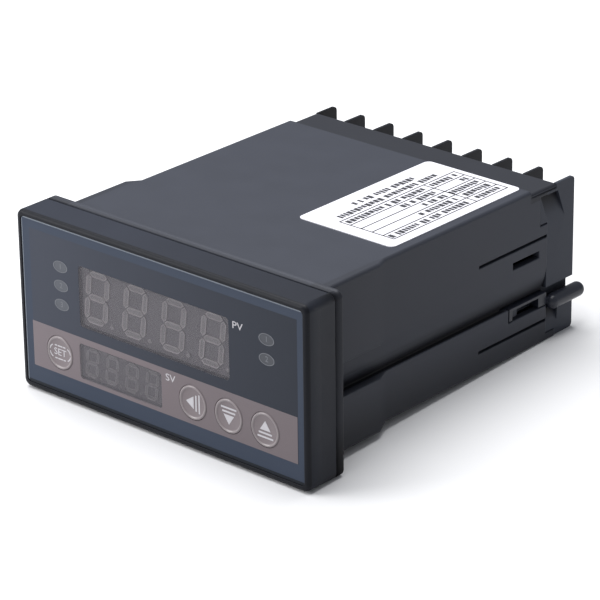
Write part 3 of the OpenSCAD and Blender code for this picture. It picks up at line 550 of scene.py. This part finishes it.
lamp_back = corners("lamp_windows")[1][1]
work = bmesh.new()
for _, x, z in lamp_spots:
    disc(work, LAMP_W / 2, lamp_back - film_front, facing_front(x, (film_front + lamp_back) / 2, z)
         @ Matrix.Diagonal((1, LAMP_H / LAMP_W, 1, 1)))
piece("lamp_spots", work, lamp_print.material, "chassis", "lamp_windows")

white_ink = Finish("white_ink", Specular_IOR_Level=0.4)
white_ink.set(Base_Color=white_ink.mottle(0.2, (0.39, 0.38, 0.40), (0.50, 0.485, 0.51)),
              Roughness=0.45 + white_ink.noise(0.5) * 0.1)
pale_ink = Finish("pale_ink", Specular_IOR_Level=0.4, Roughness=0.5)
pale_ink.set(Base_Color=pale_ink.mottle(0.2, (0.11, 0.118, 0.135), (0.14, 0.148, 0.165)))


def ink_arc(inner, outer, angle, matrix):
    """A flat arc of ink about the Y axis, from two radii in millimetres and an angle in degrees."""
    arc = bmesh.new()
    verts = [arc.verts.new((radius * MM, 0, 0)) for radius in (inner, outer)]
    bmesh.ops.spin(arc, geom=verts + [arc.edges.new(verts)], cent=(0, 0, 0), axis=(0, 1, 0),
                   dvec=(0, 0, 0), angle=math.radians(angle), steps=max(8, round(angle / 8)),
                   use_merge=angle == 360, use_normal_flip=False, use_duplicate=False)
    walls = bmesh.ops.extrude_face_region(arc, geom=arc.faces[:])
    top = [v for v in walls["geom"] if isinstance(v, bmesh.types.BMVert)]
    bmesh.ops.translate(arc, verts=top, vec=(0, -INK * MM, 0))
    bmesh.ops.recalc_face_normals(arc, faces=arc.faces)
    bmesh.ops.transform(arc, verts=arc.verts, matrix=matrix)
    mesh = bpy.data.meshes.new("arc")
    arc.to_mesh(mesh)
    arc.free()
    return mesh


RING_INNER, RING_OUTER = 2.22, 2.45
MARK_H, MARK_STRETCH = 1.9, 1.2
work = bmesh.new()
for number, x, z in lamp_spots:
    work.from_mesh(lettering(str(number), NUMBER_H, facing_front(x, film_front, z)))
    oval = at(x, film_front, z) @ Matrix.Diagonal((1, 1, LAMP_H / LAMP_W, 1))
    work.from_mesh(ink_arc(RING_INNER, RING_OUTER, 360, oval))
piece("lamp_numbers", work, pale_ink.material, "chassis")
work = bmesh.new()
for words, x, z in (("PV", 25.8, 12.85), ("SV", 3.4, -7.25)):
    wide = facing_front(x, film_front, z) @ Matrix.Diagonal((MARK_STRETCH, 1, 1, 1))
    work.from_mesh(lettering(words, MARK_H, wide))
piece("window_marks", work, white_ink.material, "chassis")

# ---- Display modules ----------------------------------------------------------------------------
# Potted seven-segment modules behind the windows, soldered to the display board. Each has four
# digits in a grey face, with milky segments that stand a little proud in thin frames.
display_face = Finish("display_face", Specular_IOR_Level=0.3)
face_grain = display_face.noise(0.5)
display_face.set(Base_Color=display_face.blend(face_grain, (0.125, 0.117, 0.130), (0.150, 0.140, 0.154)),
                 Roughness=0.6 + face_grain * 0.1)
display_face.bump(face_grain, 0.01)
moulding("process_display", "pv_display", "chassis", display_face.material, 0.2)
moulding("set_display", "sv_display", "chassis", display_face.material, 0.2)

segment_edge = Finish("segment_edge", Roughness=0.4)
segment_edge.set(Base_Color=segment_edge.mottle(0.4, (0.36, 0.33, 0.335), (0.43, 0.40, 0.405)))
segment_body = Finish("segment_body", Roughness=0.4)
segment_body.set(Base_Color=segment_body.mottle(0.4, (0.215, 0.20, 0.21), (0.255, 0.237, 0.245)))

DIGITS = 4
LEAN = math.tan(math.radians(7))
DIGIT_W, BAR_W = 0.56, 0.12  # shares of a digit's height
SEGMENT_GAP, FRAME_W, POINT_R, POINT_OUT, POINT_ROOM = 0.28, 0.2, 0.34, 0.95, 1.37  # shares of a bar
SUNK = 0.3  # share of the segment's depth


def segment(work, x, z, length, width, upright, front, depth):
    """A six-sided milky segment with a raised edge, its middle at x and z."""
    half, end = width / 2, length / 2
    outline = [(-end, 0), (half - end, half), (end - half, half),
               (end, 0), (end - half, -half), (half - end, -half)]
    if upright:
        outline = [(-b, a) for a, b in outline]
    verts = [work.verts.new(Vector((x + a, front + depth, z + b)) * MM) for a, b in outline]
    face = work.faces.new(verts)
    face.normal_update()
    walls = bmesh.ops.extrude_face_region(work, geom=[face])
    bmesh.ops.translate(work, verts=[v for v in walls["geom"] if isinstance(v, bmesh.types.BMVert)],
                        vec=(0, -depth * MM, 0))
    lid = next(f for f in walls["geom"] if isinstance(f, bmesh.types.BMFace))
    bmesh.ops.inset_individual(work, faces=[lid], thickness=FRAME_W * width * MM, depth=0)
    lid.material_index = 1
    bmesh.ops.translate(work, verts=lid.verts, vec=(0, SUNK * depth * MM, 0))


def digit(low, depth, height):
    """One leaning digit and its point as a mesh, about the middle of the digit."""
    width, bar = height * DIGIT_W, height * BAR_W
    gap = SEGMENT_GAP * bar
    work = bmesh.new()
    for level in (-1, 0, 1):
        segment(work, 0, level * (height - bar) / 2, width - bar - gap, bar, False, low, depth)
    for side in (-1, 1):
        for level in (-1, 1):
            segment(work, side * (width - bar) / 2, level * (height - bar) / 4,
                    (height - bar) / 2 - gap, bar, True, low, depth)
    point = facing_front(width / 2 + bar * POINT_OUT, low + depth / 2, (bar - height) / 2)
    made = disc(work, bar * POINT_R, depth, point, 20)
    for face in {f for v in made["verts"] for f in v.link_faces}:
        face.material_index = 1
    bmesh.ops.recalc_face_normals(work, faces=work.faces)
    shear = Matrix.Identity(4)
    shear[0][2] = LEAN
    bmesh.ops.transform(work, matrix=shear, verts=work.verts)
    mesh = bpy.data.meshes.new("digit")
    work.to_mesh(mesh)
    work.free()
    return mesh


def digits(name, node, window, margin):
    """A row of digits that is spread over a window's width, less a margin at each end."""
    low, high = corners(node)
    window_low, window_high = corners(window)
    height = high[2] - low[2]
    half = height * (DIGIT_W + LEAN) / 2
    point_out = max(0, height * BAR_W * POINT_ROOM - height * LEAN)
    first = window_low[0] - WINDOW_LAP + margin + half
    last = window_high[0] + WINDOW_LAP - margin - half - point_out
    row = bmesh.new()
    for place in range(DIGITS):
        mesh = digit(low[1], high[1] - low[1], height)
        mesh.transform(at(first + (last - first) * place / (DIGITS - 1), 0, (low[2] + high[2]) / 2))
        row.from_mesh(mesh)
        bpy.data.meshes.remove(mesh)
    piece(name, row, [segment_edge.material, segment_body.material], "chassis", node)


digits("process_digits", "pv_digits", "pv_window", 0.6)
digits("set_digits", "sv_digits", "sv_window", 0.9)

# ---- Lamps --------------------------------------------------------------------------------------
# Five round indicator lamps behind the oval spots, cast in milky resin and soldered to the display
# board by their two wires.
lamp_resin = Finish("lamp_resin", Roughness=0.25, Transmission_Weight=0.4)
lamp_resin.set(Base_Color=lamp_resin.mottle(0.6, (0.55, 0.55, 0.5), (0.7, 0.7, 0.64)))
moulding("lamp_set", "lamps", "chassis", lamp_resin.material, 0.4)

# ---- Keys ---------------------------------------------------------------------------------------
# Four round keys embossed in the film, printed taupe. A stem with a collar carries each one to its
# switch, and a white sign is printed inside the raised ring.
key_film = Finish("key_film", Specular_IOR_Level=0.4)
key_grain = key_film.noise(0.22)
key_film.set(Base_Color=key_film.blend(key_grain, (0.135, 0.112, 0.119), (0.175, 0.146, 0.153)),
             Roughness=0.36 + key_grain * 0.12)
key_film.bump(key_grain, 0.01)
# Painted highlight: the ring's crest is paler than the rest of the key; it is also glossier.
crest_highlight_film = Finish("crest_highlight_film", Specular_IOR_Level=0.5)
crest_highlight_film.set(Base_Color=crest_highlight_film.mottle(0.22, (0.19, 0.165, 0.17), (0.24, 0.21, 0.215)),
               Roughness=0.3 + crest_highlight_film.noise(0.3) * 0.06)

KEY_R, STEM_R, COLLAR_R = 4.5, 1.6, 2.6
KEY_THICK, KEY_SINK, COLLAR_THICK, COLLAR_BACK = 0.7, 0.3, 0.6, 2.75
# The ring's profile, from the sunk middle over the crest to the rim: radii and depths below the crest.
RING = [(3.55, KEY_SINK), (3.75, 0.22), (3.9, 0.06), (4.05, 0), (4.2, 0.02), (4.36, 0.12), (KEY_R, 0.28)]
CREST_INNER, CREST_OUTER, CREST_DEPTH = 3.78, 4.3, 0.2
POLE_MERGE = 0.0005


def lathe(work, outline, x, z):
    """Turns an outline of radii and depths, in millimetres, about an axis along Y."""
    verts = [work.verts.new(Vector((x + r, y, z)) * MM) for r, y in outline]
    edges = [work.edges.new(pair) for pair in zip(verts, verts[1:])]
    bmesh.ops.spin(work, geom=verts + edges, cent=Vector((x, 0, z)) * MM, axis=(0, 1, 0),
                   dvec=(0, 0, 0), angle=2 * math.pi, steps=48,
                   use_merge=True, use_normal_flip=False, use_duplicate=False)
    bmesh.ops.remove_doubles(work, verts=work.verts, dist=POLE_MERGE * MM)
    bmesh.ops.recalc_face_normals(work, faces=work.faces)


def flat_sign(work, outline, matrix):
    """A printed shape from its outline in millimetres, one ink film thick."""
    verts = [work.verts.new(Vector((a, 0, b)) * MM) for a, b in outline]
    walls = bmesh.ops.extrude_face_region(work, geom=[work.faces.new(verts)])
    top = [v for v in walls["geom"] if isinstance(v, bmesh.types.BMVert)]
    bmesh.ops.translate(work, verts=top, vec=(0, -INK * MM, 0))
    bmesh.ops.transform(work, matrix=matrix, verts=verts + top)
    bmesh.ops.recalc_face_normals(work, faces=work.faces)


def arrow(work, matrix):
    """A triangle with two bars under it, the far one wider."""
    bar_h = 0.45
    flat_sign(work, [(-1.7, -0.2), (1.7, -0.2), (0, 2.3)], matrix)
    for half, low in ((2.1, -1.2), (2.5, -2.25)):
        flat_sign(work, [(-half, low), (half, low), (half, low + bar_h), (-half, low + bar_h)], matrix)


def set_sign(work, x, z, front):
    """The word in a rounded outline that is broken into dashes."""
    dash_x, dash_z, half_dash = (0.42, 1.45), 1.75, Vector((0.4, INK / 2, 0.16))
    arc_x, arc_inner, arc_outer, arc_angle = 1.85, 1.6, 1.9, 58
    middle = facing_front(x, front - INK / 2, z)
    work.from_mesh(lettering("SET", MARK_H, middle @ Matrix.Diagonal((1.08, 1, 1, 1))))
    for side in (-1, 1):
        for level in (-1, 1):
            for dash in dash_x:
                spot = Vector((x + side * dash, front - INK / 2, z + level * dash_z))
                slab(work, spot - half_dash, spot + half_dash)
            start = math.radians((9 if level > 0 else -9 - arc_angle) + (180 if side < 0 else 0))
            place = at(x + side * arc_x, front, z) @ Matrix.Rotation(start, 4, "Y")
            work.from_mesh(ink_arc(arc_inner, arc_outer, arc_angle, place))


collar = corners("front_bezel")[0][1] + COLLAR_BACK
for name, turn in (("set", None), ("shift", -90), ("down", 180), ("up", 0)):
    low, high = corners(name + "_key")
    x, z = (low[0] + high[0]) / 2, (low[2] + high[2]) / 2
    front = low[1]
    outline = [(0, front + KEY_SINK)] + [(radius, front + depth) for radius, depth in RING]
    outline += [(KEY_R, front + KEY_THICK), (STEM_R, front + KEY_THICK), (STEM_R, collar),
                (COLLAR_R, collar), (COLLAR_R, collar + COLLAR_THICK), (STEM_R, collar + COLLAR_THICK),
                (STEM_R, high[1]), (0, high[1])]
    work = bmesh.new()
    lathe(work, outline, x, z)
    # The crest's faces take the painted highlight.
    for face in work.faces:
        middle = face.calc_center_median() / MM
        if CREST_INNER < math.hypot(middle.x - x, middle.z - z) < CREST_OUTER \
                and middle.y < front + CREST_DEPTH:
            face.material_index = 1
    cap = piece(name + "_cap", work, [key_film.material, crest_highlight_film.material], name + "_key",
                name + "_key")
    cap.data.shade_smooth()
    cap.data.set_sharp_from_angle(angle=math.radians(40))
    work = bmesh.new()
    if turn is None:
        set_sign(work, x, z, front + KEY_SINK)
    else:
        arrow(work, at(x, front + KEY_SINK, z) @ Matrix.Rotation(math.radians(turn), 4, "Y"))
    piece(name + "_sign", work, white_ink.material, name + "_key")

# ---- Plungers and switches ----------------------------------------------------------------------
# Tact switches, soldered to the display board: each has a black moulded housing, and a brown plunger
# that meets the key's stem.
switch_plastic = moulded("switch_plastic", (0.022, 0.022, 0.024), grain=0.4, roughness=0.45)
plunger_plastic = moulded("plunger_plastic", (0.10, 0.062, 0.035), grain=0.5, depth=0.005, roughness=0.3)
moulding("switch_set", "key_switches", "chassis", switch_plastic, 0.12)
for name in ("set", "shift", "down", "up"):
    moulding(name + "_button", name + "_plunger", name + "_key", plunger_plastic, 0.15)

# ---- Boards -------------------------------------------------------------------------------------
# Glass-epoxy boards with a green solder mask over the copper. The display board is screwed to the
# bezel's posts, and the two long boards run back in the case's guides.
GRID = 1.27
TRACK = (0.3, 0.6)  # where a track starts and ends in its lane, as shares of the grid
solder_mask = Finish("solder_mask", Specular_IOR_Level=0.5)
weave = solder_mask.noise(0.5, 1.0)
board_x, board_y, _ = solder_mask.axes()
lane = (board_x * (1 / GRID)).fraction()
rung = (board_y * (1 / GRID)).fraction()
lengthwise = within(lane, *TRACK) * (solder_mask.noise(6.0, 0.0, (1, 0.3, 1)) > 0.52)
crosswise = within(rung, *TRACK) * (solder_mask.noise(5.0, 0.0, (0.3, 1, 1)) > 0.60)
copper_under = 1 - (1 - lengthwise) * (1 - crosswise)
mask_green = solder_mask.blend(weave, (0.012, 0.085, 0.034), (0.018, 0.110, 0.046))
solder_mask.set(Base_Color=solder_mask.blend(copper_under, mask_green, (0.035, 0.17, 0.06)),
                Roughness=0.28 + weave * 0.12)
solder_mask.bump(copper_under * 0.7 + weave * 0.3, 0.02)
for name, node in (("front_board", "display_board"), ("supply_board", "power_board"),
                   ("logic_board", "control_board")):
    moulding(name, node, "chassis", solder_mask.material, 0.08)
moulding("post_screws", "board_screws", "chassis", nickel, 0.12)

# ---- Connectors ---------------------------------------------------------------------------------
# Black headers join the long boards to the display board, and ivory sockets at their ends take the
# terminal blades. Both are moulded in nylon and soldered to the boards.
socket_plastic = moulded("socket_plastic", (0.62, 0.58, 0.47), grain=0.5, depth=0.004,
                         roughness=0.38, spread=0.05)
moulding("header_set", "board_headers", "chassis", switch_plastic, 0.15)
moulding("socket_set", "rear_sockets", "chassis", socket_plastic, 0.15)

# ---- Transformer --------------------------------------------------------------------------------
# A stack of punched and varnished steel laminations with a taped copper winding in each window. Its
# winding's pins are soldered to the power board.


def bands(finish, across, scale, wander):
    """Soft bands across an axis, as of stacked sheets or wound turns."""
    return finish.node("ShaderNodeTexWave", {"bands_direction": across}, {
        "Vector": finish.place(), "Scale": scale, "Distortion": wander, "Detail": 1.0})


lamination = Finish("lamination", Metallic=0.7)
layers = bands(lamination, "Z", 0.6, 0.3)
rust = lamination.noise(1.6, 3.0)
rusty_layers = layers * 0.6 + rust * 0.4
lamination.set(Base_Color=lamination.blend(rusty_layers, (0.06, 0.055, 0.05), (0.24, 0.23, 0.22)),
               Roughness=0.42 + rust * 0.2)
lamination.bump(layers, 0.06)
moulding("core_stack", "transformer_core", "chassis", lamination.material, 0.2)
tape = Finish("winding_tape", Specular_IOR_Level=0.5)
turns = bands(tape, "Y", 0.5, 0.4)
tape.set(Base_Color=tape.blend(turns, (0.36, 0.12, 0.03), (0.55, 0.24, 0.07)),
         Roughness=0.3 + turns * 0.15)
tape.bump(turns, 0.05)
moulding("winding_set", "transformer_winding", "chassis", tape.material, 0.5)

# ---- Relays -------------------------------------------------------------------------------------
# Two sealed power relays in glossy blue moulded covers, soldered to the power board. One switches
# the output and the other the alarm.
relay_blue = moulded("relay_blue", (0.02, 0.085, 0.27), grain=1.2, depth=0.01, roughness=0.26, level=0.5)
for name in ("output_relay", "alarm_relay"):
    moulding(name + "_cover", name, "chassis", relay_blue, 0.6)

# ---- Capacitors ---------------------------------------------------------------------------------
# Two upright electrolytic cans in printed sleeves, and a yellow film capacitor across the line. The
# bare aluminium top of each can shows inside its sleeve's rim, with a cross scored to burst there.
sleeve = Finish("capacitor_sleeve", Specular_IOR_Level=0.5)
sleeve_grain = sleeve.noise(1.2)
sleeve.set(Base_Color=sleeve.blend(sleeve_grain, (0.012, 0.016, 0.034), (0.020, 0.026, 0.052)),
           Roughness=0.24 + sleeve_grain * 0.1)
sleeve.bump(sleeve_grain, 0.01)
moulding("smoothing_cans", "smoothing_capacitors", "chassis", sleeve.material, 0.6)
yellow_box = moulded("yellow_box", (0.62, 0.40, 0.05), grain=0.8, depth=0.006,
                     roughness=0.35, level=0.5, spread=0.06)
moulding("line_box", "line_capacitor", "chassis", yellow_box, 0.5)


def solids(node):
    """The lowest and highest corners, in millimetres, of each separate solid in a CAD node."""
    work = bmesh.new()
    work.from_mesh(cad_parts[node].data)
    bmesh.ops.remove_doubles(work, verts=work.verts, dist=0.001 * MM)
    left, found = set(work.verts), []
    while left:
        waiting, island = [left.pop()], []
        while waiting:
            vert = waiting.pop()
            island.append(vert.co / MM)
            near = {edge.other_vert(vert) for edge in vert.link_edges} & left
            left -= near
            waiting += near
        found.append([Vector([pick(v[i] for v in island) for i in range(3)]) for pick in (min, max)])
    work.free()
    return sorted(found, key=lambda box: tuple(box[0]))


CAN_TOP_R, CAN_TOP_THICK = 4.1, 0.1
SCORE_REACH, SCORE_HALF, SCORE_RISE = 3.0, 0.14, 0.08
can_top = plated("can_top", (0.62, 0.63, 0.65), 0.38)
score = Finish("can_score", Roughness=0.6)
score.set(Base_Color=score.mottle(0.4, (0.05, 0.05, 0.055), (0.09, 0.09, 0.095)))
work, marks = bmesh.new(), bmesh.new()
for low, high in solids("smoothing_capacitors"):
    x, y = (low.x + high.x) / 2, (low.y + high.y) / 2
    disc(work, CAN_TOP_R, CAN_TOP_THICK, at(x, y, high.z))
    for half_x, half_y in ((SCORE_REACH, SCORE_HALF), (SCORE_HALF, SCORE_REACH)):
        slab(marks, (x - half_x, y - half_y, high.z), (x + half_x, y + half_y, high.z + SCORE_RISE))
piece("can_tops", work, can_top, "chassis")
piece("can_scores", marks, score.material, "chassis")

# ---- Logic --------------------------------------------------------------------------------------
# A flat-pack processor, three small logic chips and a crystal in a drawn can. Bent tinned legs at
# 1.27 and 1 mm pitch carry the chips, and a printed dot marks pin 1.
epoxy = moulded("chip_epoxy", (0.016, 0.016, 0.018), grain=0.2, depth=0.008)
can = plated("crystal_can", (0.72, 0.73, 0.74), 0.24)
moulding("processor_pack", "processor", "chassis", epoxy, 0.15)
moulding("chip_set", "logic_chips", "chassis", epoxy, 0.15)
moulding("crystal_shell", "crystal", "chassis", can, 0.5)

LEG_W, LEG_MARGIN, DOT_R, DOT_INSET = 0.4, 1.0, 0.45, 1.2
# The shoulder, the drop and the foot of a leg: two distances out from the body, and two heights.
LEG = ((-0.1, 0.5, 0.7, 0.85), (0.38, 0.5, 0.05, 0.85), (0.38, 1.0, 0.0, 0.15))


def legs(work, low, high, axis, pitch):
    """Bent legs at the two sides of a chip that face an axis, from the chip's corners."""
    along = 1 - axis
    count = int((high[along] - low[along] - LEG_MARGIN) / pitch) + 1
    for side, edge in ((-1, low[axis]), (1, high[axis])):
        for leg in range(count):
            middle = (low[along] + high[along]) / 2 + (leg - (count - 1) / 2) * pitch
            for near, far, bottom, top in LEG:
                corner = [Vector((0, 0, low.z + bottom)), Vector((0, 0, low.z + top))]
                for point, out, half in zip(corner, (near, far), (-LEG_W / 2, LEG_W / 2)):
                    point[axis] = edge + side * out
                    point[along] = middle + half
                slab(work, [min(c) for c in zip(*corner)], [max(c) for c in zip(*corner)])


tinned = plated("tinned_legs", (0.66, 0.66, 0.67), 0.35)
work, dots = bmesh.new(), bmesh.new()
for node, pitch, leg_axes in (("logic_chips", 1.27, (0,)), ("processor", 1.0, (0, 1))):
    for low, high in solids(node):
        for axis in leg_axes:
            legs(work, low, high, axis, pitch)
        disc(dots, DOT_R, INK, at(low.x + DOT_INSET, low.y + DOT_INSET, high.z), 20)
piece("chip_legs", work, tinned, "chassis")
piece("pin_dots", dots, white_ink.material, "chassis")

# ---- Stage --------------------------------------------------------------------------------------
# A plain pale floor that touches the flange's lower edge and the rear barriers, two soft boxes in a
# pale room, and the camera.
FLOOR_SIZE = 6
foot_front, foot_rear = Vector((0, 0, -24)), Vector((0, 98, -20.4))
tilt = math.atan2(foot_rear.z - foot_front.z, foot_rear.y - foot_front.y)
floor_shade = Finish("floor_shade", Roughness=0.9, Specular_IOR_Level=0.1, Base_Color=(0.66, 0.66, 0.67))
work = bmesh.new()
bmesh.ops.create_grid(work, x_segments=1, y_segments=1, size=FLOOR_SIZE,
                      matrix=Matrix.Translation(foot_front * MM) @ Matrix.Rotation(tilt, 4, "X"))
mesh = bpy.data.meshes.new("floor")
work.to_mesh(mesh)
work.free()
mesh.materials.append(floor_shade.material)
floor = bpy.data.objects.new("floor", mesh)
bpy.context.scene.collection.objects.link(floor)

scene = bpy.context.scene
scene.view_settings.view_transform = "Standard"
world = bpy.data.worlds.new("studio")
scene.world = world
world.use_nodes = True
room = world.node_tree.nodes["Background"]
room.inputs["Color"].default_value = (0.92, 0.95, 1.0, 1)
room.inputs["Strength"].default_value = 0.42


def soft_box(name, place, target, size, watts):
    """A square area lamp at a place, turned to a target, in metres."""
    data = bpy.data.lights.new(name, "AREA")
    data.shape, data.size, data.energy = "SQUARE", size, watts
    light = bpy.data.objects.new(name, data)
    light.location = place
    light.rotation_euler = (Vector(target) - Vector(place)).to_track_quat("-Z", "Y").to_euler()
    scene.collection.objects.link(light)


soft_box("overhead", place=(-0.15, 0.05, 0.75), target=(0, 0.05, 0), size=0.7, watts=11)
soft_box("front_left", place=(-0.30, -0.30, 0.20), target=(-0.03, -0.02, 0), size=0.25, watts=1.6)

AZIMUTH, ELEVATION, ROLL = (math.radians(v) for v in (41.7935, 23.3835, -0.7305))
CAMERA_X, CAMERA_Y, CAMERA_Z = 509.4932, -531.2655, 326.0592
SENSOR_W, IMAGE_W, FOCAL_PIXELS = 36, 600, 3303.156
back = Vector((math.sin(AZIMUTH) * math.cos(ELEVATION), -math.cos(AZIMUTH) * math.cos(ELEVATION),
               math.sin(ELEVATION)))
level = (-back).cross(Vector((0, 0, 1))).normalized()
upward = level.cross(-back)
right = math.cos(ROLL) * level + math.sin(ROLL) * upward
up = math.cos(ROLL) * upward - math.sin(ROLL) * level
lens = bpy.data.cameras.new("camera")
lens.sensor_width = SENSOR_W
lens.lens = SENSOR_W * FOCAL_PIXELS / IMAGE_W
lens.clip_start, lens.clip_end = 0.05, 20
camera = bpy.data.objects.new("camera", lens)
camera.matrix_world = at(CAMERA_X, CAMERA_Y, CAMERA_Z) @ Matrix((right, up, back)).transposed().to_4x4()
scene.collection.objects.link(camera)
scene.camera = camera
